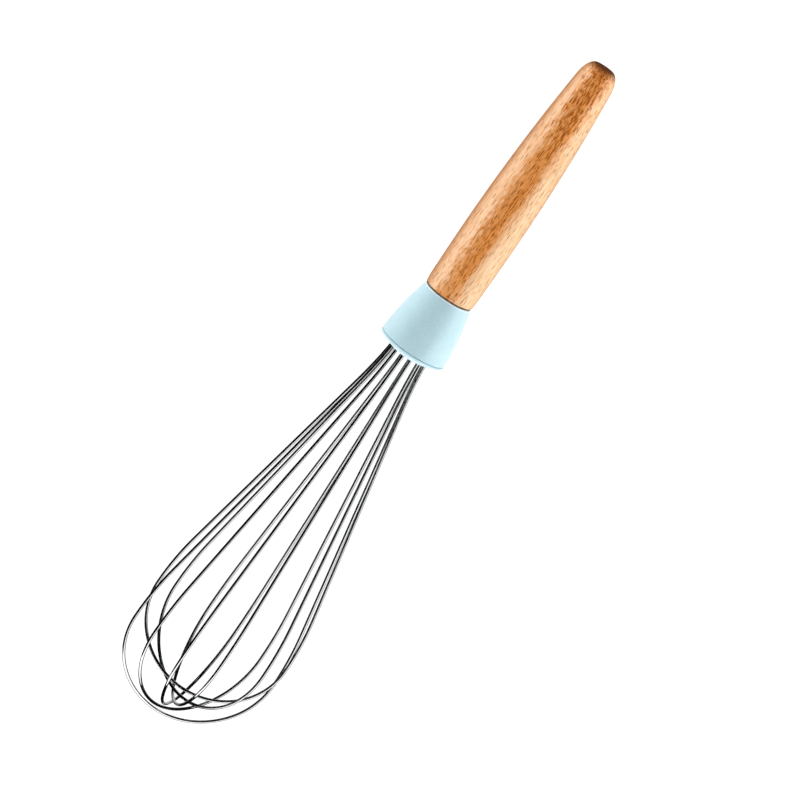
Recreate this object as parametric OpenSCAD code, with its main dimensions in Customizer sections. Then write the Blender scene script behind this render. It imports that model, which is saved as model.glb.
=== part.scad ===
// Balloon whisk with six nested wire loops, a silicone collar and a turned beech handle.
// The whisk lies on its side, as it does on a table: the handle end and two wires touch the floor.
// The long axis runs along X with the wires at +X, and the origin is on the floor under the middle.

/* [Handle] */
// Length of the wooden handle, from its flat end to the collar
handle_length = 106.5; // [85:0.5:140]
// Largest diameter of the handle
handle_d = 21.6; // [18.5:0.1:26]
// Distance from the collar to the thickest place of the handle
handle_swell_at = 28; // [6:0.5:40]
// Diameter lost between the thickest place and the start of the end rounding
handle_taper = 6.3; // [1:0.1:8]
// Diameter lost between the thickest place and the collar, before the mouth is rounded
mouth_taper = 0.7; // [0.2:0.1:1.4]
// Length over which the handle end is rounded
tip_round_length = 7; // [3:0.5:14]
// Diameter of the flat face on the handle end
tip_flat_d = 7.4; // [4:0.2:10]
// Length over which the handle is eased down to the collar
mouth_round_length = 4; // [1:0.5:5]
// Depth of the pocket for glue in the handle, under the end of the tenon
glue_pocket = 4; // [1:0.5:10]

/* [Collar] */
// Diameter of the collar where it meets the handle
collar_top_d = 20.1; // [19:0.1:22]
// Diameter of the collar at its wide edge
collar_bottom_d = 28.4; // [26:0.1:36]
// Length of the collar's side, from the handle to the wide edge
collar_length = 24.7; // [20:0.1:34]
// How far the collar's side bows out of a straight cone
collar_bow = 0.75; // [0.2:0.05:1.2]
// Radius of the collar's wide edge
collar_edge_r = 1.5; // [0.8:0.1:2]
// Thickness of the silicone on the side
collar_wall = 1.9; // [1.2:0.1:2.4]
// Thickness of the silicone over the end of the hub, at the wires
collar_end_wall = 2.6; // [1.6:0.1:4]
// Gap between the silicone and the wood, seen as a thin dark line
joint_gap = 0.4; // [0.1:0.05:0.6]
// Radius of the collar's rim beside that gap
collar_rim_r = 0.5; // [0.2:0.05:0.8]

/* [Hub] */
// Diameter of the tenon that is glued into the handle
tenon_d = 12.4; // [11:0.1:13.5]
// Length of the tenon
tenon_length = 32; // [22:0.5:50]
// Width of each glue groove round the tenon, at its mouth
glue_groove_w = 2.4; // [1:0.1:4]
// Depth of each glue groove
glue_groove_depth = 0.6; // [0.3:0.05:1]
// Thickness of the glue between the tenon and the bore
glue_film = 0.4; // [0.2:0.05:0.6]
// Height of the bead inside the collar that snaps into the hub
bead_height = 0.6; // [0.3:0.05:1]
// Width of that bead
bead_width = 3; // [2:0.1:5]
// Distance from the handle to the middle of the bead
bead_at = 8; // [5:0.5:14]
// Depth of each wire hole in the hub, below the hub's end face
wire_hole_depth = 17; // [10:0.5:20]

/* [Wires] */
// Diameter of the wire
wire_d = 1.3; // [1:0.05:1.8]
// Radius of the ring on which the wires leave the collar
wire_ring_r = 7.6; // [6.6:0.1:9]
// Angle between a wire and the axis where it leaves the collar
leg_start_angle = 5.4; // [3:0.2:8]
// Length of wire over which it flares out to the angle of its straight leg
flare_length = 20; // [5:1:40]
// Distance from the handle joint to the bottom of the longest loop
cage_reach = 203; // [170:1:260]
// Width of the widest loop, between the middles of its wires
cage_d = 65.2; // [50:0.2:80]
// How far each loop's bottom lies above the next longer one
nest_step = 2.6; // [2:0.1:3.4]
// How much narrower each loop is than the next longer one
nest_narrowing = 0.9; // [0:0.1:1.6]
// Radius of the long bend from the straight leg to the widest place
shoulder_r = 120; // [60:1:200]
// Radius of the bend below the widest place
belly_r = 29.3; // [24:0.1:36]
// Angle between wire and axis where the belly bend runs into the bottom bend
belly_end_angle = 43; // [25:1:55]

/* [Fits] */
// Clearance between pieces that fit into each other
fit_gap = 0.04; // [0.02:0.01:0.06]
// Angle between two neighbouring facets of round pieces, for the preview only
facet_angle = 5; // [3:1:12]

/* [Hidden] */
$fa = facet_angle;
// Shortest facet, as a share of the wire's diameter
facet_share = 0.25;
$fs = wire_d * facet_share;

// How sharply the handle's tapers gather towards their ends: 2 is a circle's arc
taper_power = 2;
// Number of steps in a long outline, in the round of the handle's end and in a small corner
outline_steps = 16;
tip_steps = 8;
corner_steps = 6;
loop_count = 6;
// How far each loop is turned from its even place round the axis, as bent by hand
loop_turns = [-5, 0, 6, 2, 0, -2];
glue_groove_count = 3;
// Half width of a glue groove's floor, as a share of the groove's width
groove_floor_share = 0.25;
// Sides of a wire's cross-section, and steps in each of its bends
wire_sides = 12;
flare_steps = 2;
shoulder_steps = 3;
belly_steps = 6;
bottom_steps = 6;
// Slope of the collar's domed end at its edge, measured from the end plane
dome_slope = 24;
// Share of the tenon's diameter that its end chamfer takes
tenon_chamfer_share = 0.06;
// How far a cutting tool runs past the face that it opens
overrun = wire_d;
// Steepest angle tried for a leg or for the resting whisk, and how often the range is halved
steepest_angle = 40;
halvings = 36;

wire_r = wire_d / 2;
// The tube's cross-section has the area of the round wire
tube_r = wire_r * sqrt(2 * PI / (wire_sides * sin(360 / wire_sides)));
hole_r = tube_r + fit_gap;
handle_r = handle_d / 2;
tip_flat_r = tip_flat_d / 2;
collar_top_r = collar_top_d / 2;
collar_bottom_r = collar_bottom_d / 2;
tenon_r = tenon_d / 2;
bore_r = tenon_r + glue_film;
bore_depth = tenon_length + glue_pocket;
tenon_chamfer = tenon_d * tenon_chamfer_share;

// Outlines lie in a half plane: each point is [distance from the axis, place along the axis].
// A heading of 0 runs along the axis towards the wires, and a positive one leans outwards.

function heading(angle) = [sin(angle), cos(angle)];

// Middle of a bend that turns inwards from the heading at its start
function inward_centre(start, from_angle, radius) =
    start + radius * [-cos(from_angle), sin(from_angle)];
function inward_point(centre, angle, radius) = centre + radius * [cos(angle), -sin(angle)];
function inward_end(start, from_angle, to_angle, radius) =
    inward_point(inward_centre(start, from_angle, radius), to_angle, radius);
function inward_outline(start, from_angle, to_angle, radius, steps) = [
    for (i = [0 : steps])
        inward_point(
            inward_centre(start, from_angle, radius),
            from_angle + (to_angle - from_angle) * i / steps,
            radius
        )
];

// Middle of a bend that turns outwards from the heading at its start
function outward_centre(start, from_angle, radius) =
    start + radius * [cos(from_angle), -sin(from_angle)];
function outward_end(start, from_angle, to_angle, radius) =
    outward_centre(start, from_angle, radius) + radius * [-cos(to_angle), sin(to_angle)];

// Handle outline: z runs from minus handle_length at the flat end to 0 at the collar
taper_length = handle_length - handle_swell_at - tip_round_length;
tip_round_z = tip_round_length - handle_length;

function taper_loss(z) =
    z > -handle_swell_at
        ? mouth_taper / 2 * pow(1 + z / handle_swell_at, taper_power)
    : handle_taper / 2 * pow((-handle_swell_at - z) / taper_length, taper_power);

function tip_share(z) = sqrt(max(0, 1 - pow((tip_round_z - z) / tip_round_length, 2)));

function mouth_loss(z) =
    (handle_r - mouth_taper / 2 - collar_top_r)
    * (1 - sqrt(max(0, 1 - pow(z / mouth_round_length + 1, 2))));

function handle_radius(z) =
    z < tip_round_z
        ? tip_flat_r + (handle_r - taper_loss(z) - tip_flat_r) * tip_share(z)
    : z > -mouth_round_length ? handle_r - taper_loss(z) - mouth_loss(z)
    : handle_r - taper_loss(z);

handle_outline = concat(
    [for (i = [0 : tip_steps])
        let (z = tip_round_z - tip_round_length * cos(90 * i / tip_steps))
            [handle_radius(z), z]],
    [for (i = [1 : outline_steps])
        let (z = tip_round_z + (-mouth_round_length - tip_round_z) * i / outline_steps)
            [handle_radius(z), z]],
    [for (i = [1 : corner_steps])
        let (z = -mouth_round_length * (1 - sin(90 * i / corner_steps)))
            [handle_radius(z), z]]
);

// Collar outline: a bowed side, a rounded wide edge and a shallow dome
side_chord = norm([collar_bottom_r - collar_top_r, collar_length]);
side_lean = atan2(collar_bottom_r - collar_top_r, collar_length);
side_r = side_chord * side_chord / (8 * collar_bow) + collar_bow / 2;
side_half_turn = asin(side_chord / (2 * side_r));
dome_heading = dome_slope - 90;
edge_end = inward_end(
    [collar_bottom_r, collar_length], side_lean - side_half_turn, dome_heading, collar_edge_r
);
dome_r = edge_end[0] / sin(dome_slope);
dome_top_z = edge_end[1] + dome_r * (1 - cos(dome_slope));

function collar_side(z) =
    let (centre = inward_centre([collar_top_r, 0], side_lean + side_half_turn, side_r))
        centre[0] + sqrt(side_r * side_r - pow(z - centre[1], 2));

// Height of the dome's surface over the ring on which the wires leave
wire_exit_z = dome_top_z - dome_r + sqrt(dome_r * dome_r - wire_ring_r * wire_ring_r);
hub_end_z = wire_exit_z - collar_end_wall;

function hub_radius(z) = collar_side(z) - collar_wall;

hub_edge_z = min(hub_end_z, collar_length) - collar_edge_r;
bead_low = bead_at - bead_width / 2;
bead_high = bead_at + bead_width / 2;
head_z_steps = concat(
    [for (i = [0 : corner_steps - 1]) bead_low * i / corner_steps],
    [for (i = [0 : corner_steps - 1]) bead_low + bead_width * i / corner_steps],
    [for (i = [0 : corner_steps]) bead_high + (hub_edge_z - bead_high) * i / corner_steps]
);

function bead_rise(z, height) =
    abs(z - bead_at) < bead_width / 2
        ? height * pow(cos(180 * (z - bead_at) / bead_width), 2)
    : 0;

hub_head_outline = concat(
    [for (z = head_z_steps) [hub_radius(z) - bead_rise(z, bead_height), z]],
    inward_outline(
        [hub_radius(hub_edge_z), hub_edge_z], 0, -90, hub_end_z - hub_edge_z, corner_steps
    )
);

// Places of the glue grooves along the tenon
groove_pitch = tenon_length / (glue_groove_count + 1);
groove_places = [for (i = [1 : glue_groove_count]) -groove_pitch * i];

// One wire loop, described by its half outline. Loop 0 is the shortest.
function loop_reach(k) = cage_reach - nest_step * (loop_count - 1 - k);
function loop_half_width(k) = (cage_d - nest_narrowing * (loop_count - 1 - k)) / 2;

// The bottom bend closes what the belly bend leaves of the loop's half width
function bottom_r(k) =
    (loop_half_width(k) - belly_r * (1 - cos(belly_end_angle))) / cos(belly_end_angle);
function widest_z(k) =
    loop_reach(k) - belly_r * sin(belly_end_angle) - bottom_r(k) * (1 - sin(belly_end_angle));
function widest_point(k) = [loop_half_width(k), widest_z(k)];
function shoulder_centre(k) = inward_centre(widest_point(k), 0, shoulder_r);
function belly_centre(k) = inward_centre(widest_point(k), 0, belly_r);
function belly_end(k) = inward_end(widest_point(k), 0, -belly_end_angle, belly_r);

// A leg leaves the collar, flares to its leg angle, and runs straight into the shoulder bend
exit_point = [wire_ring_r, wire_exit_z];
function flare_r(angle) = flare_length * 180 / (PI * (angle - leg_start_angle));
function flare_end(angle) = outward_end(exit_point, leg_start_angle, angle, flare_r(angle));
function leg_end(k, angle) = inward_point(shoulder_centre(k), angle, shoulder_r);

// Positive while a leg at this angle would still pass inside the start of the shoulder bend
function leg_miss(k, angle) = cross(leg_end(k, angle) - flare_end(angle), heading(angle));

function leg_angle_between(k, low, high, rounds) =
    let (middle = (low + high) / 2)
        rounds == 0 ? middle
        : leg_miss(k, middle) > 0 ? leg_angle_between(k, middle, high, rounds - 1)
        : leg_angle_between(k, low, middle, rounds - 1);
leg_angles = [
    for (k = [0 : loop_count - 1]) leg_angle_between(k, leg_start_angle, steepest_angle, halvings)
];

// Where a wire starts, deep in its hole in the hub
hole_start = exit_point
    - (exit_point[1] - hub_end_z + wire_hole_depth) / cos(leg_start_angle)
    * heading(leg_start_angle);

// The middle line of a loop, as [distance from the axis, place along the axis, heading]
function with_heading(point, angle) = [point[0], point[1], angle];
function flare_path(k) = [
    for (i = [0 : flare_steps])
        let (angle = leg_start_angle + (leg_angles[k] - leg_start_angle) * i / flare_steps)
            with_heading(
                outward_end(exit_point, leg_start_angle, angle, flare_r(leg_angles[k])), angle
            )
];
function bend_path(start, from_angle, to_angle, radius, steps) = [
    for (i = [0 : steps])
        let (angle = from_angle + (to_angle - from_angle) * i / steps)
            with_heading(inward_end(start, from_angle, angle, radius), angle)
];
function without_first(list) = [for (i = [1 : len(list) - 1]) list[i]];
function backwards(list) = [for (i = [len(list) - 1 : -1 : 0]) list[i]];
function half_path(k) = concat(
    [with_heading(hole_start, leg_start_angle)],
    flare_path(k),
    bend_path(leg_end(k, leg_angles[k]), leg_angles[k], 0, shoulder_r, shoulder_steps),
    without_first(bend_path(widest_point(k), 0, -belly_end_angle, belly_r, belly_steps)),
    without_first(bend_path(
        belly_end(k), -belly_end_angle, -90, bottom_r(k), bottom_steps
    ))
);
function loop_path(k) =
    let (half = half_path(k))
        concat(half, [
            for (i = [len(half) - 2 : -1 : 0])
                [-half[i][0], half[i][1], -180 - half[i][2]]
        ]);

function wire_ring(place) = [
    for (j = [0 : wire_sides - 1])
        let (angle = 360 * j / wire_sides, out = tube_r * cos(angle))
            [place[0] + out * cos(place[2]), tube_r * sin(angle), place[1] - out * sin(place[2])]
];
function ring_faces(i, j) =
    let (
        here = i * wire_sides + j,
        beside = i * wire_sides + (j + 1) % wire_sides,
        next = here + wire_sides,
        next_beside = beside + wire_sides
    ) [[here, next, next_beside], [here, next_beside, beside]];

// Loops stand at even angles round the axis, so that two wires lie astride the lowest line
loop_pitch = 180 / loop_count;
low_loop = loop_count / 2 - 1;

function even_azimuth(k) = 90 + loop_pitch / 2 + loop_pitch * k;
function loop_azimuth(k) = even_azimuth(k) + loop_turns[k];

// Resting place: the floor touches the handle near its end and the wires of two loops.
// How far a bend reaches in a direction given as [outwards, along the axis]
function bend_reach(centre, radius, from_angle, to_angle, direction) =
    let (
        wanted = -atan2(direction[1], direction[0]),
        used = max(to_angle, min(from_angle, wanted))
    ) centre * direction + radius * ([cos(used), -sin(used)] * direction);

function wire_depth(k, off_lowest, pitch) =
    let (direction = [cos(off_lowest) * cos(pitch), -sin(pitch)])
        wire_r + max(
            bend_reach(shoulder_centre(k), shoulder_r, leg_angles[k], 0, direction),
            bend_reach(belly_centre(k), belly_r, 0, -belly_end_angle, direction)
        );

function handle_depth(pitch) =
    max([for (p = handle_outline) p[0] * cos(pitch) - p[1] * sin(pitch)]);

// The whisk rolls a little, because its two low loops differ in width and lie unevenly
left_low_angle = even_azimuth(low_loop) + loop_turns[low_loop] - 180;
right_low_angle = even_azimuth(low_loop + 1) + loop_turns[low_loop + 1] - 180;
left_half_width = loop_half_width(low_loop);
right_half_width = loop_half_width(low_loop + 1);
rest_roll = atan(
    (right_half_width * cos(right_low_angle) - left_half_width * cos(left_low_angle))
    / (right_half_width * sin(right_low_angle) - left_half_width * sin(left_low_angle))
);

function cage_depth(pitch) = wire_depth(low_loop + 1, right_low_angle + rest_roll, pitch);

// Halves the range of possible angles until the handle and the cage touch the floor together
function balanced_pitch(low, high, rounds) =
    let (middle = (low + high) / 2)
        rounds == 0 ? middle
        : handle_depth(middle) < cage_depth(middle)
            ? balanced_pitch(middle, high, rounds - 1)
        : balanced_pitch(low, middle, rounds - 1);

rest_pitch = balanced_pitch(0, steepest_angle, halvings);
rest_height = handle_depth(rest_pitch);

// Ends of the whisk along X at rest
back_end_x = -max([for (p = handle_outline) p[0] * sin(rest_pitch) - p[1] * cos(rest_pitch)]);
front_end_x = max([
    for (k = [0 : loop_count - 1])
        (loop_reach(k) - bottom_r(k)) * cos(rest_pitch) + wire_r + bottom_r(k) * norm([
            cos(loop_azimuth(k) + rest_roll) * sin(rest_pitch), cos(rest_pitch)
        ])
]);

// Stands the whisk's own axis, which is Z inside the modules below, into its resting place
module at_rest() {
    translate([-(back_end_x + front_end_x) / 2, 0, rest_height])
        rotate([0, 90 - rest_pitch, 0])
            rotate([0, 0, rest_roll])
                children();
}

// Straight pins in the place of every wire leg, from the bottom of its hole to past the collar
module leg_pins(radius) {
    pin_length = norm(exit_point - hole_start) + overrun;
    for (k = [0 : loop_count - 1], side = [0, 180])
        rotate([0, 0, loop_azimuth(k) + side])
            translate([hole_start[0], 0, hole_start[1]])
                rotate([0, leg_start_angle, 0])
                    cylinder(r = radius, h = pin_length);
}

// One loop as a closed tube along its path, with a ring of points at each place
module wire_loop(k) {
    path = loop_path(k);
    last = len(path) - 1;
    color("silver")
        at_rest()
            rotate([0, 0, loop_azimuth(k)])
                polyhedron(
                    points = [for (place = path) each wire_ring(place)],
                    faces = concat(
                        [[for (j = [0 : wire_sides - 1]) j]],
                        [for (i = [0 : last - 1], j = [0 : wire_sides - 1]) each ring_faces(i, j)],
                        [[for (j = [wire_sides - 1 : -1 : 0]) last * wire_sides + j]]
                    )
                );
}

// Turned beech handle with a blind bore for the tenon
module handle() {
    color("burlywood")
        at_rest()
            difference() {
                rotate_extrude()
                    polygon(concat([[0, 0], [0, -handle_length]], handle_outline));
                translate([0, 0, -bore_depth])
                    cylinder(r = bore_r, h = bore_depth + overrun);
            }
}

// Tenon outline from its end to the handle's face, with the glue grooves
function groove_outline(radius) =
    let (
        mouth = glue_groove_w / 2,
        floor = glue_groove_w * groove_floor_share,
        floor_radius = radius - glue_groove_depth
    ) [
        for (i = [glue_groove_count - 1 : -1 : 0])
            each [
                [radius, groove_places[i] - mouth],
                [floor_radius, groove_places[i] - floor],
                [floor_radius, groove_places[i] + floor],
                [radius, groove_places[i] + mouth]
            ]
    ];

// Dark nylon hub: a tapered head that holds the wires, and a grooved tenon
module wire_hub() {
    color("dimgray")
        at_rest()
            difference() {
                rotate_extrude()
                    polygon(concat(
                        [
                            [0, hub_end_z],
                            [0, -tenon_length],
                            [tenon_r - tenon_chamfer, -tenon_length],
                            [tenon_r, -tenon_length + tenon_chamfer]
                        ],
                        groove_outline(tenon_r),
                        [[tenon_r, 0]],
                        hub_head_outline
                    ));
                leg_pins(hole_r);
            }
}

// Cured epoxy between the tenon and the bore, and under the end of the tenon
module epoxy_bond() {
    color("khaki")
        at_rest()
            rotate_extrude()
                polygon(concat(
                    [
                        [0, -tenon_length - fit_gap],
                        [0, -bore_depth],
                        [bore_r - fit_gap, -bore_depth],
                        [bore_r - fit_gap, 0],
                        [tenon_r + fit_gap, 0]
                    ],
                    backwards(groove_outline(tenon_r + fit_gap)),
                    [
                        [tenon_r + fit_gap, -tenon_length + tenon_chamfer],
                        [tenon_r - tenon_chamfer, -tenon_length - fit_gap]
                    ]
                ));
}

// Outer outline of the collar, from its rim beside the handle to the middle of the dome
rim_z = joint_gap + collar_rim_r;
collar_skin = concat(
    [for (i = [0 : corner_steps])
        let (turn = 90 * i / corner_steps)
            [collar_side(rim_z), rim_z] + collar_rim_r * [sin(turn) - 1, -cos(turn)]],
    [for (i = [1 : outline_steps - 1])
        let (z = rim_z + (collar_length - rim_z) * i / outline_steps)
            [collar_side(z), z]],
    inward_outline(
        [collar_bottom_r, collar_length],
        side_lean - side_half_turn, dome_heading, collar_edge_r, corner_steps
    ),
    [for (i = [1 : outline_steps])
        let (slope = dome_slope * (1 - i / outline_steps))
            [dome_r * sin(slope), dome_top_z - dome_r * (1 - cos(slope))]]
);

// Cavity of the collar above the gap: the outline of the hub's head with the clearance added
collar_cavity = concat(
    [[hub_radius(joint_gap) + fit_gap, joint_gap]],
    [for (i = [1 : len(hub_head_outline) - 1])
        if (hub_head_outline[i][1] > joint_gap)
            hub_head_outline[i] + fit_gap * [1, i < len(head_z_steps) ? 0 : 1]]
);

// Soft silicone collar, pulled over the head of the hub and pierced by the wires
module collar() {
    color("lightblue")
        at_rest()
            difference() {
                rotate_extrude()
                    polygon(concat(
                        collar_skin,
                        [[0, hub_end_z + fit_gap]],
                        backwards(collar_cavity)
                    ));
                leg_pins(hole_r);
            }
}

module wire_loop_1() { wire_loop(0); }
module wire_loop_2() { wire_loop(1); }
module wire_loop_3() { wire_loop(2); }
module wire_loop_4() { wire_loop(3); }
module wire_loop_5() { wire_loop(4); }
module wire_loop_6() { wire_loop(5); }

handle();
epoxy_bond();
wire_hub();
collar();
wire_loop_1();
wire_loop_2();
wire_loop_3();
wire_loop_4();
wire_loop_5();
wire_loop_6();
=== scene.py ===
from math import asin, atan2, cos, exp, hypot, pi, radians, sin, sqrt

import bpy
from mathutils import Matrix, Vector


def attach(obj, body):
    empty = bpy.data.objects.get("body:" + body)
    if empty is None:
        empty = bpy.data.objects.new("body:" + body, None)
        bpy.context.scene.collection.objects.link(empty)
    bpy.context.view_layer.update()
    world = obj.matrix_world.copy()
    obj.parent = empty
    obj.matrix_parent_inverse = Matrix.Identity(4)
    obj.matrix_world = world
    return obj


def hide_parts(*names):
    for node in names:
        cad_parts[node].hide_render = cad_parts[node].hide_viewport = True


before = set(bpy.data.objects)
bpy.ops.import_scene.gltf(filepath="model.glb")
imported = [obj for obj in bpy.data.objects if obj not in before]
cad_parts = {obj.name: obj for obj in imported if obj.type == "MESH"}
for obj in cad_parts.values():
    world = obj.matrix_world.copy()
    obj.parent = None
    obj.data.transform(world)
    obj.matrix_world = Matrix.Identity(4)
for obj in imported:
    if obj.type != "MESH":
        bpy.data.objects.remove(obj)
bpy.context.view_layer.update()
print("frame loaded,", len(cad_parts), "CAD nodes")

mm = 0.001
mergeGap = 0.001 * mm     # points closer than this become one

# How the whisk lies: its own axis leaves the joint of wood and silicone and rises to the wires
restPlace = {
    "pitch": 5.17168,     # degrees above the floor
    "roll": -2.22648,     # degrees round its own axis
    "jointX": -48.2193,   # mm
    "jointZ": 16.5878,
}
jointSpot = Vector((restPlace["jointX"] * mm, 0, restPlace["jointZ"] * mm))
restTurn = (
    Matrix.Rotation(radians(90 - restPlace["pitch"]), 4, "Y")
    @ Matrix.Rotation(radians(restPlace["roll"]), 4, "Z")
)
restMatrix = Matrix.Translation(jointSpot) @ restTurn


# Modelling helpers. A piece is modelled upright, its axis on Z and the joint at the origin.
def startClean():
    if bpy.context.object and bpy.context.object.mode != "OBJECT":
        bpy.ops.object.mode_set(mode="OBJECT")
    bpy.ops.object.select_all(action="DESELECT")


def pickOnly(piece):
    startClean()
    piece.select_set(True)
    bpy.context.view_layer.objects.active = piece


def pullFace(step):
    bpy.ops.mesh.extrude_region_move(TRANSFORM_OT_translate={"value": step})


def cleanMesh(piece):
    pickOnly(piece)
    bpy.ops.object.mode_set(mode="EDIT")
    bpy.ops.mesh.select_all(action="SELECT")
    bpy.ops.mesh.remove_doubles(threshold=mergeGap)
    bpy.ops.mesh.normals_make_consistent(inside=False)
    bpy.ops.object.mode_set(mode="OBJECT")
    bpy.ops.object.shade_smooth()


# profile is a list of (radius, height) in mm; both its ends lie close to the axis and are closed
def turnOnLathe(profile, sides):
    startClean()
    radius, height = profile[0]
    bpy.ops.mesh.primitive_circle_add(
        vertices=sides, radius=radius * mm, fill_type="NGON", location=(0, 0, height * mm)
    )
    piece = bpy.context.object
    bpy.ops.object.mode_set(mode="EDIT")
    for nextRadius, nextHeight in profile[1:]:
        pullFace((0, 0, (nextHeight - height) * mm))
        grow = nextRadius / radius
        bpy.ops.transform.resize(value=(grow, grow, 1), center_override=(0, 0, 0))
        radius, height = nextRadius, nextHeight
    bpy.ops.object.mode_set(mode="OBJECT")
    cleanMesh(piece)
    return piece


def putInPlace(piece, name, turn=0):
    piece.name = name
    piece.data.name = name
    piece.matrix_world = restMatrix @ Matrix.Rotation(turn, 4, "Z") @ piece.matrix_world
    pickOnly(piece)
    bpy.ops.object.transform_apply(location=True, rotation=True, scale=True)
    startClean()


def dress(piece, material, slotName, *nodes):
    piece.data.materials.clear()
    piece.data.materials.append(material)
    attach(piece, "root")
    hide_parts(*nodes)


# Material helpers
def newMaterial(name):
    material = bpy.data.materials.new(name)
    material.use_nodes = True
    return material, material.node_tree, material.node_tree.nodes["Principled BSDF"]


# settings are the node's own, inputs are values or sockets by the socket's name or number
def addNode(tree, kind, settings=None, inputs=None):
    made = tree.nodes.new(kind)
    for key, value in (settings or {}).items():
        setattr(made, key, value)
    for key, value in (inputs or {}).items():
        if isinstance(value, bpy.types.NodeSocket):
            tree.links.new(value, made.inputs[key])
        else:
            made.inputs[key].default_value = value
    return made


def axisCoordinates(tree):
    # Object coordinates turned into the whisk's own axes, in mm, with the joint at zero
    place = addNode(tree, "ShaderNodeTexCoord")
    turned = addNode(tree, "ShaderNodeMapping", {"vector_type": "TEXTURE"}, {
        "Vector": place.outputs["Object"],
        "Location": jointSpot,
        "Rotation": Vector(restTurn.to_euler()),
        "Scale": (mm, mm, mm),
    })
    return turned.outputs[0]


def stretched(tree, vector, acrossGrain, alongGrain):
    return addNode(tree, "ShaderNodeVectorMath", {"operation": "DIVIDE"}, {
        0: vector, 1: (acrossGrain, acrossGrain, alongGrain)
    }).outputs[0]


def noise(tree, vector, scale=1.0, detail=2.0, roughness=0.5):
    return addNode(tree, "ShaderNodeTexNoise", None, {
        "Vector": vector, "Scale": scale, "Detail": detail, "Roughness": roughness
    }).outputs["Fac"]


# pattern is mm across and along the grain, levels of detail and roughness
def grainNoise(tree, vector, pattern):
    acrossGrain, alongGrain, detail, roughness = pattern
    return noise(tree, stretched(tree, vector, acrossGrain, alongGrain), 1.0, detail, roughness)


def cells(tree, vector, scale=1.0):
    return addNode(tree, "ShaderNodeTexVoronoi", {"feature": "F1"}, {
        "Vector": vector, "Scale": scale, "Randomness": 1.0
    }).outputs


# span and target are pairs: what lies at the ends of span becomes the ends of target
def remap(tree, value, span, target=(0.0, 1.0), curve="LINEAR"):
    return addNode(tree, "ShaderNodeMapRange", {"interpolation_type": curve, "clamp": True}, {
        "Value": value, "From Min": span[0], "From Max": span[1],
        "To Min": target[0], "To Max": target[1],
    }).outputs[0]


def split(tree, vector):
    return addNode(tree, "ShaderNodeSeparateXYZ", None, {0: vector}).outputs


def calculate(tree, operation, first, second=0.0):
    return addNode(tree, "ShaderNodeMath", {"operation": operation}, {
        0: first, 1: second
    }).outputs[0]


def addShare(tree, base, extra, share):
    return calculate(tree, "ADD", base, calculate(tree, "MULTIPLY", extra, share))


# a noise lies round one half, so this swings round zero
def swing(tree, value, reach):
    return calculate(tree, "MULTIPLY", calculate(tree, "SUBTRACT", value, 0.5), reach)


def blendColours(tree, amount, first, second, how="MIX"):
    mixed = addNode(tree, "ShaderNodeMix", {"data_type": "RGBA", "blend_type": how})
    for index, value in ((0, amount), (6, first), (7, second)):
        if isinstance(value, bpy.types.NodeSocket):
            tree.links.new(value, mixed.inputs[index])
        elif index:
            mixed.inputs[index].default_value = (*value, 1)
        else:
            mixed.inputs[index].default_value = value
    return mixed.outputs[2]


# where amount is full, tint is the share of the colour that is left
def multiplyTint(tree, amount, colour, tint):
    return blendColours(tree, amount, colour, blendColours(tree, 1.0, colour, tint, "MULTIPLY"))


def addBump(tree, surface, height, distance, strength=1.0):
    bump = addNode(tree, "ShaderNodeBump", None, {
        "Height": height, "Distance": distance, "Strength": strength
    })
    tree.links.new(bump.outputs[0], surface.inputs["Normal"])


# Beech handle
handle = {
    "length": 106.5,
    "radius": 10.8,
    "swellAt": 28,         # from the joint to the thickest place
    "taper": 3.15,         # radius lost from there to the rounded end
    "mouthTaper": 0.35,    # radius lost from there to the joint
    "endRound": 7,
    "endFlat": 3.7,        # radius of the flat end
    "mouthRadius": 10.05,
    "mouthRound": 4,
    "boreRadius": 6.6,
    "boreDepth": 36,
    "boreRim": 1.5,        # one more ring on the joint's face, this far outside the bore
    "poleRadius": 0.1,     # the bore's floor closes on this
    "faceShares": (0.02, 0.35, 0.7),   # rings on the flat end, as shares of its radius
    "endSteps": 20,
    "bodySteps": 44,
    "mouthSteps": 14,
    "sides": 120,
    "sharpAngle": 40,      # degrees, edges past it stay sharp
}


def handleRadius(z):
    roundStart = handle["endRound"] - handle["length"]
    mouthFull = handle["radius"] - handle["mouthTaper"]
    if z > -handle["swellAt"]:
        body = handle["radius"] - handle["mouthTaper"] * (1 + z / handle["swellAt"]) ** 2
    else:
        share = (handle["swellAt"] + z) / (handle["swellAt"] + roundStart)
        body = handle["radius"] - handle["taper"] * share ** 2
    if z < roundStart:
        share = sqrt(max(0, 1 - ((roundStart - z) / handle["endRound"]) ** 2))
        return handle["endFlat"] + (body - handle["endFlat"]) * share
    if z > -handle["mouthRound"]:
        share = sqrt(max(0, 1 - (z / handle["mouthRound"] + 1) ** 2))
        return body - (mouthFull - handle["mouthRadius"]) * (1 - share)
    return body


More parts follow.
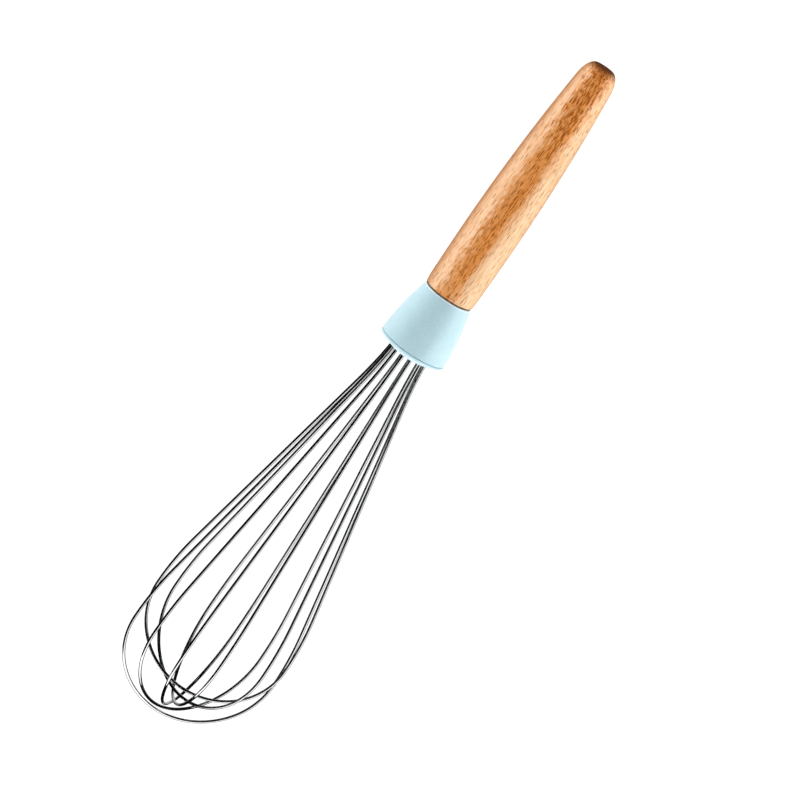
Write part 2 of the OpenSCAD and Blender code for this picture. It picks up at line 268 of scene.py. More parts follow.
def makeHandle():
    roundStart = handle["endRound"] - handle["length"]
    bodyLength = -handle["mouthRound"] - roundStart
    heights = []
    for i in range(handle["endSteps"] + 1):
        heights.append(roundStart - handle["endRound"] * cos(pi / 2 * i / handle["endSteps"]))
    for i in range(1, handle["bodySteps"] + 1):
        heights.append(roundStart + bodyLength * i / handle["bodySteps"])
    for i in range(1, handle["mouthSteps"] + 1):
        heights.append(-handle["mouthRound"] * (1 - sin(pi / 2 * i / handle["mouthSteps"])))
    face = [(handle["endFlat"] * share, -handle["length"]) for share in handle["faceShares"]]
    bore = [
        (handle["boreRadius"] + handle["boreRim"], 0),
        (handle["boreRadius"], 0),
        (handle["boreRadius"], -handle["boreDepth"]),
        (handle["poleRadius"], -handle["boreDepth"]),
    ]
    outline = [(handleRadius(z), z) for z in heights]
    piece = turnOnLathe(face + outline + bore, handle["sides"])
    pickOnly(piece)
    bpy.ops.object.shade_smooth_by_angle(angle=radians(handle["sharpAngle"]))
    putInPlace(piece, "beechHandle")
    return piece


# Pairs are ranges. Places are in mm, along the handle from the joint and across it from the axis.
beech = {
    "sap": (0.96, 0.63, 0.40),
    "cream": (0.84, 0.60, 0.38),     # paler sapwood, on one side
    "streak": (0.74, 0.36, 0.14),
    "wood": (0.78, 0.305, 0.074),
    "heart": (0.38, 0.092, 0.008),
    "fleck": (0.40, 0.19, 0.065),    # what a fleck leaves of the colour under it
    "flankShade": (0.48, 0.33, 0.21),     # the same for the painted shade along the flanks
    "oilAndShade": (0.085, 0.050, 0.014),    # and for the oiled end grain, with painted shade at the handle's end and painted shadow at the joint
    "fibres": (0.65, 6.0, 2.0, 0.6),
    "streaks": (0.9, 16, 2.0, 0.6),
    "mottle": (1.0, 1.9, 2.0, 0.6),
    "blotches": (0.60, 3.2, 3.0, 0.65),
    "rows": (0.9, 26, 1.0, 0.5),
    "lean": 0.04,                    # the fibres run a little out of true
    "pushes": (                      # what pushes the growth layers about, and its share in it
        ((9, 38, 3.0, 0.55), 0.3),
        ((2.2, 6, 2.0, 0.6), 0.45),
        ((0.8, 3, 2.0, 0.65), 0.25),
    ),
    "wander": 7.8,                   # mm by which they are pushed
    "ringWidth": 4.4,                # mm from one growth layer to the next
    "lateWood": (0.3, 0.96),         # share of a layer over which it darkens
    "lateTint": 0.1,                 # how much of the wood's colour it takes on
    "heartFrom": (-7.2, -3.7),       # where the dark layer begins, raggedly
    "heartTo": (0.2, 3.8),           # and where it runs out in streaks
    "heartLean": 0.012,
    "edgeMottle": 6.0,               # mm by which mottle, fibres and streaks push its edges
    "edgeFibres": 5.0,
    "edgeStreaks": 9.0,
    "heartFade": (-25.0, 0.0),       # it is weaker near the joint
    "heartLeast": 0.7,
    "heartFull": 0.85,               # depth at which it has taken on all its colour
    "heartTint": 0.92,
    "creamTurn": 0.06,               # how quickly the sapwood pales to one side, per mm
    "creamFade": (-90.0, -20.0),     # and where it does so less
    "creamLoss": -0.25,
    "creamSpan": (0.4, 0.8),
    "toneShare": 0.5,                # share of fibres, and of streaks, in the sapwood's tone
    "toneSpan": (0.44, 0.64),
    "toneMost": 0.7,
    "heartBlotches": 0.165,          # the darker the heart, the closer its blotches stand
    "endBlotches": 0.06,             # and they do so towards the handle's end
    "endReach": (-100.0, -60.0),
    "blotchSpan": (0.64, 0.79),
    "fleckSize": (0.42, 4.6),        # mm from fleck to fleck, across and along
    "fleckCore": (0.16, 0.38),
    "fleckSide": (-3.0, 4.0),        # flecks grow stronger to one side
    "fleckGain": (-0.25, 0.1),
    "fleckSpan": (0.4, 0.9),
    "flankShadeSpan": (0.7, 1.0),         # sine of the angle round the axis
    "flankShadePower": 2.0,
    "flankShadeSide": (-5.0, 5.0),        # and darker on one side
    "flankShadeGain": (1.0, 0.6),
    "oilSpan": (0.5, 4.0),           # mm from the end to which the oil and the painted shade reach
    "oilRagged": 1.4,
    "oilPower": 1.6,
    "oilMost": 0.97,
    "jointShadeReach": (-0.5, -0.2),       # painted shadow of the gap, on the wood's end at the joint
    "jointShadeMost": 0.95,
    "gloss": 0.45,
    "fibreGloss": 0.2,
    "fleckGloss": 0.2,
    "oilGloss": 0.4,
    "shine": 0.18,
    "shineTint": (0.95, 0.66, 0.40, 1),
    "fibreRelief": 0.5,
    "reliefDepth": 0.06,             # mm
    "reliefStrength": 0.6,
}


def beechMaterial():
    material, tree, surface = newMaterial("oiledBeech")
    across, aside, along = split(tree, axisCoordinates(tree))
    leaned = addShare(tree, aside, along, beech["lean"])
    grain = addNode(tree, "ShaderNodeCombineXYZ", None, {0: across, 1: leaned, 2: along}).outputs[0]

    # growth layers stand upright in the handle
    shift = 0.0
    for pattern, share in beech["pushes"]:
        shift = addShare(tree, shift, grainNoise(tree, grain, pattern), share)
    layer = addShare(tree, aside, along, beech["heartLean"])
    layer = calculate(tree, "ADD", layer, swing(tree, shift, beech["wander"]))
    ring = calculate(tree, "FRACT", calculate(tree, "DIVIDE", layer, beech["ringWidth"]))
    lateWood = remap(tree, ring, beech["lateWood"], curve="SMOOTHSTEP")
    # dark heart layer, mottled at its near edge and streaky at its far one
    fibres = grainNoise(tree, grain, beech["fibres"])
    streaks = grainNoise(tree, grain, beech["streaks"])
    mottle = grainNoise(tree, grain, beech["mottle"])
    nearEdge = calculate(tree, "ADD", layer, swing(tree, mottle, beech["edgeMottle"]))
    nearEdge = calculate(tree, "ADD", nearEdge, swing(tree, fibres, beech["edgeFibres"]))
    farEdge = calculate(tree, "ADD", layer, swing(tree, streaks, beech["edgeStreaks"]))
    begins = remap(tree, nearEdge, beech["heartFrom"])
    runsOut = remap(tree, farEdge, beech["heartTo"], (1.0, 0.0))
    heart = calculate(tree, "MINIMUM", begins, runsOut)
    fade = remap(tree, along, beech["heartFade"], (1.0, beech["heartLeast"]))
    heart = calculate(tree, "MULTIPLY", heart, fade)
    # sapwood, rosy on one side and creamy on the other, with long streaks and fine fibres
    side = addShare(tree, streaks, aside, beech["creamTurn"])
    creamLoss = remap(tree, along, beech["creamFade"], (beech["creamLoss"], 0.0))
    side = calculate(tree, "ADD", side, creamLoss)
    colour = blendColours(tree, remap(tree, side, beech["creamSpan"]), beech["sap"], beech["cream"])
    tone = calculate(tree, "MULTIPLY", fibres, beech["toneShare"])
    tone = addShare(tree, tone, streaks, beech["toneShare"])
    tone = remap(tree, tone, beech["toneSpan"], (0.0, beech["toneMost"]))
    colour = blendColours(tree, tone, colour, beech["streak"])
    warm = remap(tree, heart, (0.0, beech["heartFull"]), (0.0, beech["heartTint"]))
    warm = addShare(tree, warm, lateWood, beech["lateTint"])
    colour = blendColours(tree, warm, colour, beech["wood"])
    # dark blotches
    blotches = grainNoise(tree, grain, beech["blotches"])
    closeness = addShare(tree, blotches, heart, beech["heartBlotches"])
    nearEnd = remap(tree, along, beech["endReach"], (beech["endBlotches"], 0.0))
    closeness = calculate(tree, "ADD", closeness, nearEnd)
    colour = blendColours(tree, remap(tree, closeness, beech["blotchSpan"]), colour, beech["heart"])
    # short dark flecks that lie along the grain, in rows
    spots = cells(tree, stretched(tree, grain, *beech["fleckSize"]))
    core = remap(tree, spots["Distance"], beech["fleckCore"], (1.0, 0.0), "SMOOTHSTEP")
    rows = grainNoise(tree, grain, beech["rows"])
    strength = calculate(tree, "ADD", split(tree, spots["Color"])[0], rows)
    stronger = remap(tree, aside, beech["fleckSide"], beech["fleckGain"])
    strength = calculate(tree, "ADD", strength, stronger)
    flecks = calculate(tree, "MULTIPLY", core, remap(tree, strength, beech["fleckSpan"]))
    colour = multiplyTint(tree, flecks, colour, beech["fleck"])
    # painted shade along both flanks, darker on one side
    flankShade = calculate(tree, "SINE", calculate(tree, "ARCTAN2", aside, across))
    flankShade = remap(tree, calculate(tree, "ABSOLUTE", flankShade), beech["flankShadeSpan"])
    flankShade = calculate(tree, "POWER", flankShade, beech["flankShadePower"])
    oneSided = remap(tree, aside, beech["flankShadeSide"], beech["flankShadeGain"])
    flankShade = calculate(tree, "MULTIPLY", flankShade, oneSided)
    colour = multiplyTint(tree, flankShade, colour, beech["flankShade"])
    # the oil has gone deep into the end grain, and painted shade darkens the handle's end further
    ending = addShare(tree, along, blotches, beech["oilRagged"])
    oilSpan = [distance - handle["length"] for distance in beech["oilSpan"]]
    oiledAndShaded = calculate(tree, "POWER", remap(tree, ending, oilSpan, (1.0, 0.0)), beech["oilPower"])
    # painted shadow of the gap between wood and silicone, darkening the wood at the joint
    jointShade = remap(tree, along, beech["jointShadeReach"], (0.0, beech["jointShadeMost"]), "SMOOTHSTEP")
    oiledAndShaded = calculate(tree, "MAXIMUM", oiledAndShaded, jointShade)
    soakedAndShaded = calculate(tree, "MULTIPLY", oiledAndShaded, beech["oilMost"])
    colour = multiplyTint(tree, soakedAndShaded, colour, beech["oilAndShade"])
    tree.links.new(colour, surface.inputs["Base Color"])
    gloss = calculate(tree, "MULTIPLY", fibres, beech["fibreGloss"])
    gloss = calculate(tree, "ADD", gloss, beech["gloss"])
    gloss = addShare(tree, gloss, flecks, beech["fleckGloss"])
    gloss = addShare(tree, gloss, oiledAndShaded, beech["oilGloss"])
    tree.links.new(gloss, surface.inputs["Roughness"])
    surface.inputs["Specular IOR Level"].default_value = beech["shine"]
    surface.inputs["Specular Tint"].default_value = beech["shineTint"]
    relief = calculate(tree, "MULTIPLY", fibres, beech["fibreRelief"])
    relief = calculate(tree, "SUBTRACT", relief, flecks)
    addBump(tree, surface, relief, beech["reliefDepth"] * mm, beech["reliefStrength"])
    return material


beechHandle = makeHandle()
dress(beechHandle, beechMaterial(), "beech", "handle")
print("handle turned,", len(beechHandle.data.polygons), "faces")

# Silicone collar
collar = {
    "topRadius": 10.05,
    "wideRadius": 14.2,
    "length": 24.7,
    "bow": 0.75,
    "edgeRadius": 1.5,
    "rimRadius": 0.5,
    "gap": 0.4,
    "domeSlope": 24,        # degrees at the edge of the dome
    "wall": 1.9,
    "endWall": 2.6,
    "beadAt": 8,
    "beadWidth": 3,
    "beadHeight": 0.6,
    "fit": 0.04,
    "innerPole": 0.1,       # radius on which the cavity closes
    "innerRing": 4,         # one more ring on its flat end
    "outerPole": 0.05,      # radius on which the dome closes
    "seamDepth": 0.45,      # the mould's parting line at the wide edge
    "seamWidth": 0.22,
    "seamZone": (0.6, 1.5), # it is looked for this far inside and below the wide edge
    "lipHeight": 0.16,      # soft lip round each wire
    "lipRadius": 1.15,
    "lipWidth": 0.38,
    "lipZone": (4, 0.6),    # lips stand this far outside the wires and above the hub
    "cornerSteps": 8,
    "cavitySteps": 47,
    "sideSteps": 30,
    "fineLength": 1.2,      # the rings stand closer together near the parting line
    "fineStep": 0.08,
    "fineRings": 14,
    "edgeSteps": 40,
    "domeSteps": 44,
    "sides": 192,
}
wires = {
    "radius": 0.65,
    "ringRadius": 7.6,
    "startAngle": 5.4,      # degrees between wire and axis at the collar
    "flareLength": 20,
    "reach": 203,
    "width": 65.2,
    "nestStep": 2.6,
    "narrowing": 0.9,
    "shoulderRadius": 120,
    "bellyRadius": 29.3,
    "bellyEnd": 43,         # degrees
    "holeDepth": 17,
    "loops": 6,
    "turns": (-5, 0, 6, 2, 0, -2),
    "leastFlare": 0.0001,   # radians, the straightest leg that is tried
    "steepest": 40,         # degrees, and the steepest
    "halvings": 40,
    "sides": 28,
    "steps": {"hole": 4, "flare": 6, "leg": 10, "shoulder": 8, "belly": 18, "bottom": 40},
    "sharpAngle": 50,       # degrees, the cut ends stay sharp
}

sideLean = atan2(collar["wideRadius"] - collar["topRadius"], collar["length"])
sideChord = hypot(collar["wideRadius"] - collar["topRadius"], collar["length"])
sideBend = sideChord ** 2 / (8 * collar["bow"]) + collar["bow"] / 2
sideHalfTurn = asin(sideChord / (2 * sideBend))


def bendCentre(start, angle, radius):
    return (start[0] - radius * cos(angle), start[1] + radius * sin(angle))


def onBend(centre, angle, radius):
    return (centre[0] + radius * cos(angle), centre[1] - radius * sin(angle))


sideCentre = bendCentre((collar["topRadius"], 0), sideLean + sideHalfTurn, sideBend)


def collarSide(z):
    return sideCentre[0] + sqrt(sideBend ** 2 - (z - sideCentre[1]) ** 2)


domeSlope = radians(collar["domeSlope"])
edgeStart = sideLean - sideHalfTurn
edgeCentre = bendCentre((collar["wideRadius"], collar["length"]), edgeStart, collar["edgeRadius"])
edgeEnd = onBend(edgeCentre, domeSlope - pi / 2, collar["edgeRadius"])
domeBend = edgeEnd[0] / sin(domeSlope)
domeTop = edgeEnd[1] + domeBend * (1 - cos(domeSlope))
wireExit = domeTop - domeBend + sqrt(domeBend ** 2 - wires["ringRadius"] ** 2)
hubEnd = wireExit - collar["endWall"]


def collarProfile():
    fit, cornerSteps = collar["fit"], collar["cornerSteps"]
    # inside, from the middle of the hub's end down to the handle, over the bead
    rings = [(collar["innerPole"], hubEnd + fit), (collar["innerRing"], hubEnd + fit)]
    hubEdge = collar["length"] - collar["edgeRadius"]
    hubCorner = hubEnd - hubEdge
    for i in range(cornerSteps + 1):
        angle = pi / 2 * (1 - i / cornerSteps)
        rings.append((
            collarSide(hubEdge) - collar["wall"] + fit - hubCorner * (1 - cos(angle)),
            hubEdge + fit + hubCorner * sin(angle),
        ))
    for i in range(1, collar["cavitySteps"] + 1):
        z = hubEdge - (hubEdge - collar["gap"]) * i / collar["cavitySteps"]
        near = abs(z - collar["beadAt"]) / collar["beadWidth"]
        bead = collar["beadHeight"] * cos(pi * near) ** 2 if near < 0.5 else 0
        rings.append((collarSide(z) - collar["wall"] + fit - bead, z))
    # rim beside the handle
    rimStart = collar["gap"] + collar["rimRadius"]
    for i in range(cornerSteps + 1):
        angle = pi / 2 * i / cornerSteps
        rings.append((
            collarSide(rimStart) - collar["rimRadius"] * (1 - sin(angle)),
            rimStart - collar["rimRadius"] * cos(angle),
        ))
    # side, rounded edge and dome
    fineStart = collar["length"] - collar["fineLength"]
    for i in range(1, collar["sideSteps"] + 1):
        z = rimStart + (fineStart - rimStart) * i / collar["sideSteps"]
        rings.append((collarSide(z), z))
    for i in range(1, collar["fineRings"] + 1):
        z = fineStart + collar["fineStep"] * i
        rings.append((collarSide(z), z))
    edgeTurn = domeSlope - pi / 2 - edgeStart
    for i in range(collar["edgeSteps"] + 1):
        angle = edgeStart + edgeTurn * i / collar["edgeSteps"]
        rings.append(onBend(edgeCentre, angle, collar["edgeRadius"]))
    for i in range(1, collar["domeSteps"]):
        slope = domeSlope * (1 - i / collar["domeSteps"])
        rings.append((domeBend * sin(slope), domeTop - domeBend * (1 - cos(slope))))
    rings.append((collar["outerPole"], domeTop))
    return rings


def loopAzimuth(k):
    return radians(90 + 180 / wires["loops"] * (k + 0.5) + wires["turns"][k])


def shapeCollar(piece):
    # the parting line is pressed in, and a soft lip stands up round each wire
    exits = []
    for k in range(wires["loops"]):
        for half in (0, pi):
            angle = loopAzimuth(k) + half
            exits.append((wires["ringRadius"] * cos(angle), wires["ringRadius"] * sin(angle)))
    seamRadius = collar["wideRadius"] - collar["seamZone"][0]
    seamHeight = collar["length"] - collar["seamZone"][1]
    lipRadius = wires["ringRadius"] + collar["lipZone"][0]
    lipHeight = hubEnd + collar["lipZone"][1]
    for vertex in piece.data.vertices:
        x, y, z = vertex.co / mm
        z += piece.location.z / mm
        radius = hypot(x, y)
        if radius > seamRadius and z > seamHeight:
            off = (z - collar["length"]) / collar["seamWidth"]
            sink = collar["seamDepth"] * exp(-off * off)
            x, y = x * (1 - sink / radius), y * (1 - sink / radius)
        if z > lipHeight and radius < lipRadius:
            lip = 0
            for spot in exits:
                off = hypot(x - spot[0], y - spot[1]) - collar["lipRadius"]
                off = off / collar["lipWidth"]
                lip = max(lip, exp(-off * off))
            z += collar["lipHeight"] * lip
        vertex.co = Vector((x, y, z - piece.location.z / mm)) * mm


silicone = {
    "colour": (0.51, 0.715, 0.775),
    "shade": (0.48, 0.69, 0.755),
    "cloud": (0.25, 3.0, 0.6),     # scale per mm, levels of detail and roughness
    "cloudSpan": (0.35, 0.65),
    "speckle": (2.2, 1.0, 0.5),
    "speckleSpan": (0.3, 0.7),
    "tint": (0.95, 1.05),
    "lint": (0.30, 0.36, 0.40),    # a little lint clings to soft silicone
    "lintScale": 0.23,             # per mm
    "lintSize": (0.03, 0.05),
    "lintMost": 0.5,
    "seamShade": (0.30, 0.45, 0.53),    # painted shade in the groove of the parting line
    "seamShadeReach": (0.06, 0.33),     # mm to each side of it
    "rim": (0.78, 0.88, 0.92),     # painted highlight along the thin edge beside the wood
    "rimReach": (0.25, 0.75),      # mm from the gap
    "lineMost": 0.85,              # how far the painted seam shade and the painted rim highlight cover the colour
    "gloss": 0.44,
    "grain": (3.2, 2.0, 0.6),
    "grainGloss": 0.12,
    "grainDepth": 0.02,            # mm
    "grainStrength": 0.5,
    "glow": 0.12,                  # share of light that goes through the skin
    "glowRadius": (0.6, 0.9, 1.0),
    "glowDepth": 1.2,              # mm
    "sheen": 0.6,
    "sheenRoughness": 0.45,
}


def siliconeMaterial():
    material, tree, surface = newMaterial("matteSilicone")
    place = axisCoordinates(tree)
    height = split(tree, place)[2]
    cloud = remap(tree, noise(tree, place, *silicone["cloud"]), silicone["cloudSpan"])
    colour = blendColours(tree, cloud, silicone["colour"], silicone["shade"])
    dust = cells(tree, place, silicone["lintScale"])["Distance"]
    specks = remap(tree, dust, silicone["lintSize"], (silicone["lintMost"], 0.0))
    colour = blendColours(tree, specks, colour, silicone["lint"])
    speckle = noise(tree, place, *silicone["speckle"])
    tint = remap(tree, speckle, silicone["speckleSpan"], silicone["tint"])
    colour = blendColours(tree, 1.0, colour, tint, "MULTIPLY")
    covered = (silicone["lineMost"], 0.0)
    # painted shade along the groove of the parting line
    offSeam = calculate(tree, "ABSOLUTE", calculate(tree, "SUBTRACT", height, collar["length"]))
    seamShade = remap(tree, offSeam, silicone["seamShadeReach"], covered, "SMOOTHSTEP")
    colour = blendColours(tree, seamShade, colour, silicone["seamShade"])
    # painted highlight along the thin rim beside the wood
    rimSpan = [collar["gap"] + distance for distance in silicone["rimReach"]]
    rim = remap(tree, height, rimSpan, covered, "SMOOTHSTEP")
    colour = blendColours(tree, rim, colour, silicone["rim"])
    tree.links.new(colour, surface.inputs["Base Color"])
    grain = noise(tree, place, *silicone["grain"])
    gloss = calculate(tree, "MULTIPLY", grain, silicone["grainGloss"])
    gloss = calculate(tree, "ADD", gloss, silicone["gloss"])
    tree.links.new(gloss, surface.inputs["Roughness"])
    surface.inputs["Subsurface Weight"].default_value = silicone["glow"]
    surface.inputs["Subsurface Radius"].default_value = silicone["glowRadius"]
    surface.inputs["Subsurface Scale"].default_value = silicone["glowDepth"] * mm
    surface.inputs["Sheen Weight"].default_value = silicone["sheen"]
    surface.inputs["Sheen Roughness"].default_value = silicone["sheenRoughness"]
    addBump(tree, surface, grain, silicone["grainDepth"] * mm, silicone["grainStrength"])
    return material


siliconeCollar = turnOnLathe(collarProfile(), collar["sides"])
shapeCollar(siliconeCollar)
putInPlace(siliconeCollar, "siliconeCollar")
dress(siliconeCollar, siliconeMaterial(), "silicone", "collar")
print("collar moulded,", len(siliconeCollar.data.polygons), "faces")


# Steel loops: a filled circle is pulled straight and spun round the middle of each bend
def loopShape(k):
    inside = wires["loops"] - 1 - k
    halfWidth = (wires["width"] - wires["narrowing"] * inside) / 2
    reach = wires["reach"] - wires["nestStep"] * inside
    bellyEnd, start = radians(wires["bellyEnd"]), radians(wires["startAngle"])
    bottom = (halfWidth - wires["bellyRadius"] * (1 - cos(bellyEnd))) / cos(bellyEnd)
    widest = reach - wires["bellyRadius"] * sin(bellyEnd) - bottom * (1 - sin(bellyEnd))
    shoulder = (halfWidth - wires["shoulderRadius"], widest)
    leave = (wires["ringRadius"], wireExit)

    def flareParts(angle):
        flareRadius = wires["flareLength"] / (angle - start)
        centre = (leave[0] + flareRadius * cos(start), leave[1] - flareRadius * sin(start))
        end = (centre[0] - flareRadius * cos(angle), centre[1] + flareRadius * sin(angle))
        return centre, end

    low, high = start + wires["leastFlare"], radians(wires["steepest"])
    for _ in range(wires["halvings"]):   # the leg has to run straight into the shoulder
        angle = (low + high) / 2
        centre, end = flareParts(angle)
        legEnd = onBend(shoulder, angle, wires["shoulderRadius"])
        miss = (legEnd[0] - end[0]) * cos(angle) - (legEnd[1] - end[1]) * sin(angle)
        low, high = (angle, high) if miss > 0 else (low, angle)
    deep = wires["holeDepth"] + leave[1] - hubEnd
    return {
        "start": start,
        "leg": angle,
        "bellyEnd": bellyEnd,
        "hole": (leave[0] - deep / cos(start) * sin(start), leave[1] - deep),
        "leave": leave,
        "flareCentre": centre,
        "flareEnd": end,
        "legEnd": legEnd,
        "shoulderCentre": shoulder,
        "bellyCentre": (halfWidth - wires["bellyRadius"], widest),
        "bottomCentre": (0, reach - bottom),
    }


def bendWire(centre, angle, steps):
    bpy.ops.mesh.spin(
        steps=steps, angle=angle, center=(centre[0] * mm, 0, centre[1] * mm), axis=(0, 1, 0)
    )


def pullWire(start, end, steps):
    for _ in range(steps):
        pullFace(((end[0] - start[0]) * mm / steps, 0, (end[1] - start[1]) * mm / steps))


def mirrored(point):
    return (-point[0], point[1])


def makeLoop(k):
    shape, steps = loopShape(k), wires["steps"]
    flareTurn = shape["start"] - shape["leg"]
    startClean()
    bpy.ops.mesh.primitive_circle_add(
        vertices=wires["sides"], radius=wires["radius"] * mm, fill_type="NGON",
        location=(shape["hole"][0] * mm, 0, shape["hole"][1] * mm), rotation=(0, shape["start"], 0),
    )
    piece = bpy.context.object
    bpy.ops.object.mode_set(mode="EDIT")
    pullWire(shape["hole"], shape["leave"], steps["hole"])
    bendWire(shape["flareCentre"], flareTurn, steps["flare"])
    pullWire(shape["flareEnd"], shape["legEnd"], steps["leg"])
    bendWire(shape["shoulderCentre"], shape["leg"], steps["shoulder"])
    bendWire(shape["bellyCentre"], shape["bellyEnd"], steps["belly"])
    bendWire(shape["bottomCentre"], pi - 2 * shape["bellyEnd"], steps["bottom"])
    bendWire(mirrored(shape["bellyCentre"]), shape["bellyEnd"], steps["belly"])
    bendWire(mirrored(shape["shoulderCentre"]), shape["leg"], steps["shoulder"])
    pullWire(mirrored(shape["legEnd"]), mirrored(shape["flareEnd"]), steps["leg"])
    bendWire(mirrored(shape["flareCentre"]), flareTurn, steps["flare"])
    pullWire(mirrored(shape["leave"]), mirrored(shape["hole"]), steps["hole"])
    bpy.ops.object.mode_set(mode="OBJECT")
    cleanMesh(piece)
    bpy.ops.object.shade_smooth_by_angle(angle=radians(wires["sharpAngle"]))
    return piece


steel = {
    "colour": (0.86, 0.87, 0.885),
    "marks": (0.10, 14, 2.0, 0.6),   # left by drawing the wire
    "markSpan": (0.3, 0.7),
    "markTint": (0.93, 1.03),
    "markGloss": 0.04,
    "smears": (4, 18, 2.0, 0.5),
    "smearGloss": 0.05,
    "gloss": 0.01,
}


def steelMaterial():
    material, tree, surface = newMaterial("polishedSteelWire")
    run = axisCoordinates(tree)
    marks = grainNoise(tree, run, steel["marks"])
    smears = grainNoise(tree, run, steel["smears"])
    tone = remap(tree, marks, steel["markSpan"], steel["markTint"])
    colour = blendColours(tree, 1.0, steel["colour"], tone, "MULTIPLY")
    tree.links.new(colour, surface.inputs["Base Color"])
    surface.inputs["Metallic"].default_value = 1.0
    gloss = calculate(tree, "MULTIPLY", smears, steel["smearGloss"])
    gloss = addShare(tree, gloss, marks, steel["markGloss"])
    gloss = calculate(tree, "ADD", gloss, steel["gloss"])
    tree.links.new(gloss, surface.inputs["Roughness"])
    return material


wireSteel = steelMaterial()
for k in range(wires["loops"]):
    loop = makeLoop(k)
    putInPlace(loop, "steelLoop%d" % (k + 1), loopAzimuth(k))
    dress(loop, wireSteel, "steel", "wire_loop_%d" % (k + 1))
print("six loops bent")

# The hub and the glue stay as the CAD nodes, hidden in the collar and the handle
nylon = {
    "colour": (0.012, 0.011, 0.010),
    "shade": (0.020, 0.018, 0.016),
    "gloss": (0.45, 0.55),
    "cloud": (0.8, 3.0, 0.6),   # scale per mm, levels of detail and roughness
}
epoxy = {
    "colour": (0.62, 0.50, 0.20),
    "shade": (0.45, 0.34, 0.12),
    "gloss": (0.12, 0.22),
    "cloud": (0.5, 3.0, 0.6),
}
innerSkin = {
    "shadeSpan": (0.35, 0.65),
    "glossSpan": (0.3, 0.7),
    "reliefDepth": 0.02,        # mm
    "reliefStrength": 0.4,
}


def innerMaterial(name, finish):
    material, tree, surface = newMaterial(name)
    cloud = noise(tree, axisCoordinates(tree), *finish["cloud"])
    shade = remap(tree, cloud, innerSkin["shadeSpan"])
    colour = blendColours(tree, shade, finish["colour"], finish["shade"])
    tree.links.new(colour, surface.inputs["Base Color"])
    gloss = remap(tree, cloud, innerSkin["glossSpan"], finish["gloss"])
    tree.links.new(gloss, surface.inputs["Roughness"])
    addBump(tree, surface, cloud, innerSkin["reliefDepth"] * mm, innerSkin["reliefStrength"])
    return material


for nodeName, material in (
    ("wire_hub", innerMaterial("mouldedNylon", nylon)),
    ("epoxy_bond", innerMaterial("curedEpoxy", epoxy)),
):
    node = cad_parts[nodeName]
    node.data.materials.clear()
    node.data.materials.append(material)
print("inner pieces finished")

# Floor, light and camera, in metres
studio = {
    "floorRadius": 7.0,
    "floorSides": 96,
    "floorHeight": -0.0003,   # just under the wires that rest on it
    "floorColour": (0.24, 0.24, 0.24),
    "floorShade": (0.26, 0.26, 0.26),
    "floorMottle": 9.0,       # per metre
    "floorRoughness": 0.9,
    "floorShine": 0.1,
    "floorGlow": 0.88,
    "white": (1, 1, 1, 1),
    "tentStrength": 1.35,
    "tentDark": 0.003,        # what the steel mirrors from its dark half
    "darkSide": 225,          # degrees from +X to the middle of the tent's dark half
    "darkTurn": 30,           # degrees past the zenith to which it reaches
    "darkEdge": 0.05,
    "horizon": (0.15, 0.19),  # height at which the tent ends; below it the steel mirrors dark
    "under": (-0.98, -0.75),  # and, lower down, pale ground
    "underPale": 0.6,
    "underDark": 0.004,
    "softboxes": (            # place, size and power; most light the whisk from low down
        ((0.0, -1.3, 0.34), (1.7, 0.4), 18.2),
        ((0.0, 1.3, 0.40), (1.7, 0.4), 14.4),
        ((1.5, 0.0, 0.5), (0.6, 0.4), 9.0),
        ((-1.5, 0.0, 0.3), (0.6, 0.3), 9.0),
        ((0.0, 0.0, 1.6), (1.0, 1.0), 2.4),
    ),
}


def makeFloor():
    startClean()
    bpy.ops.mesh.primitive_circle_add(
        vertices=studio["floorSides"], radius=studio["floorRadius"], fill_type="NGON",
        location=(0, 0, studio["floorHeight"]),
    )
    floor = bpy.context.object
    floor.name = "studioFloor"
    material, tree, surface = newMaterial("paleFloor")
    place = addNode(tree, "ShaderNodeTexCoord").outputs["Object"]
    mottle = noise(tree, place, studio["floorMottle"], 2.0)
    colour = blendColours(tree, mottle, studio["floorColour"], studio["floorShade"])
    tree.links.new(colour, surface.inputs["Base Color"])
    surface.inputs["Roughness"].default_value = studio["floorRoughness"]
    surface.inputs["Specular IOR Level"].default_value = studio["floorShine"]
    surface.inputs["Emission Color"].default_value = studio["white"]
    surface.inputs["Emission Strength"].default_value = studio["floorGlow"]
    floor.data.materials.append(material)
    floor.visible_glossy = False   # the steel mirrors the tent alone


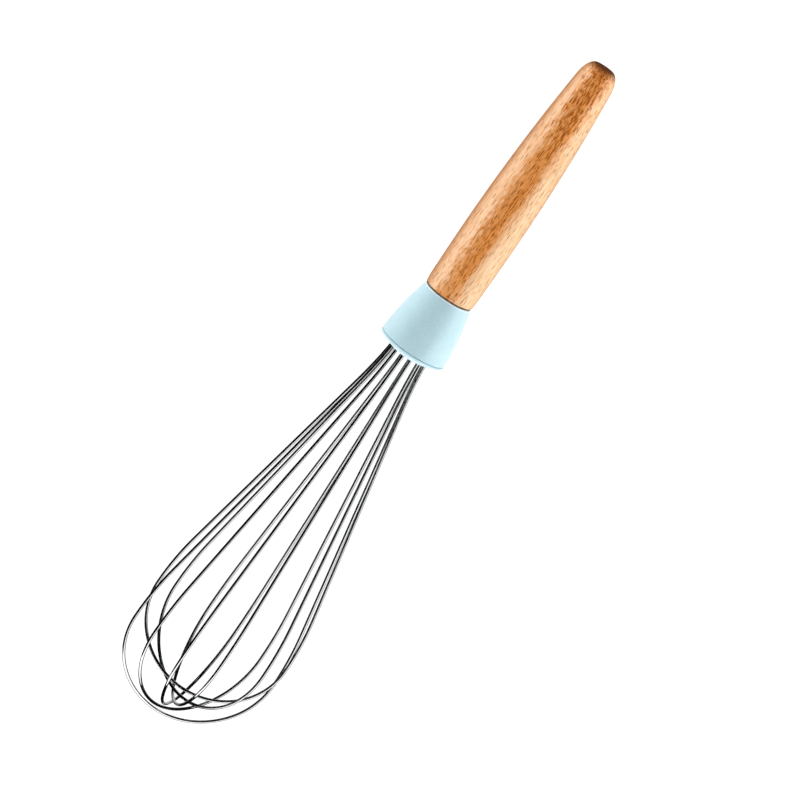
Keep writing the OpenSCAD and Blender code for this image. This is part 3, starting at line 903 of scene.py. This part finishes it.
def makeTent():
    world = bpy.data.worlds.new("whiteTent")
    bpy.context.scene.world = world
    world.use_nodes = True
    tree = world.node_tree
    direction = addNode(tree, "ShaderNodeTexCoord").outputs["Generated"]
    height = split(tree, direction)[2]
    side, turn = radians(studio["darkSide"]), radians(studio["darkTurn"])
    lit = addNode(tree, "ShaderNodeVectorMath", {"operation": "DOT_PRODUCT"}, {
        0: direction, 1: (-cos(side) * cos(turn), -sin(side) * cos(turn), -sin(turn))
    }).outputs["Value"]
    darkEdge = (-studio["darkEdge"], studio["darkEdge"])
    tentRange = (studio["tentDark"], studio["tentStrength"])
    above = remap(tree, lit, darkEdge, tentRange, "SMOOTHSTEP")
    underRange = (studio["underPale"], studio["underDark"])
    under = remap(tree, height, studio["under"], underRange, "SMOOTHSTEP")
    isAbove = remap(tree, height, studio["horizon"])
    glow = addNode(tree, "ShaderNodeMix", {"data_type": "FLOAT"}, {
        0: isAbove, 2: under, 3: above
    }).outputs[0]
    background = tree.nodes["Background"]
    tree.links.new(glow, background.inputs["Strength"])
    background.inputs["Color"].default_value = studio["white"]


def makeSoftboxes():
    for place, size, power in studio["softboxes"]:
        light = bpy.data.lights.new("softbox", "AREA")
        light.shape = "RECTANGLE"
        light.size, light.size_y = size
        light.energy = power
        softbox = bpy.data.objects.new("softbox", light)
        bpy.context.scene.collection.objects.link(softbox)
        softbox.location = place
        softbox.rotation_euler = (-softbox.location).to_track_quat("-Z", "Y").to_euler()
        softbox.visible_glossy = False


def makeCamera():
    view = {
        "aim": (-0.00471, 0.00700, 0.025),
        "azimuth": 193.58,
        "elevation": 70.93,
        "roll": -159.42,
        "distance": 2.039,
        "focal": 5311.5,      # in pixels of an image this wide
        "imageWidth": 800,
        "sensorWidth": 36,
        "clip": (0.05, 30),
    }
    azimuth, elevation, roll = (radians(view[key]) for key in ("azimuth", "elevation", "roll"))
    back = Vector((cos(elevation) * cos(azimuth), cos(elevation) * sin(azimuth), sin(elevation)))
    level = (-back).cross(Vector((0, 0, 1))).normalized()
    rise = level.cross(-back)
    right = level * cos(roll) + rise * sin(roll)
    up = rise * cos(roll) - level * sin(roll)
    lens = bpy.data.cameras.new("photoCamera")
    camera = bpy.data.objects.new("photoCamera", lens)
    bpy.context.scene.collection.objects.link(camera)
    turn = Matrix((right, up, back)).transposed().to_4x4()
    camera.matrix_world = Matrix.Translation(Vector(view["aim"]) + back * view["distance"]) @ turn
    lens.sensor_width = view["sensorWidth"]
    lens.lens = view["focal"] / view["imageWidth"] * lens.sensor_width
    lens.clip_start, lens.clip_end = view["clip"]
    lens.dof.use_dof = False
    bpy.context.scene.camera = camera


makeFloor()
makeTent()
makeSoftboxes()
makeCamera()
bpy.context.scene.view_settings.view_transform = "Standard"
print("studio set")
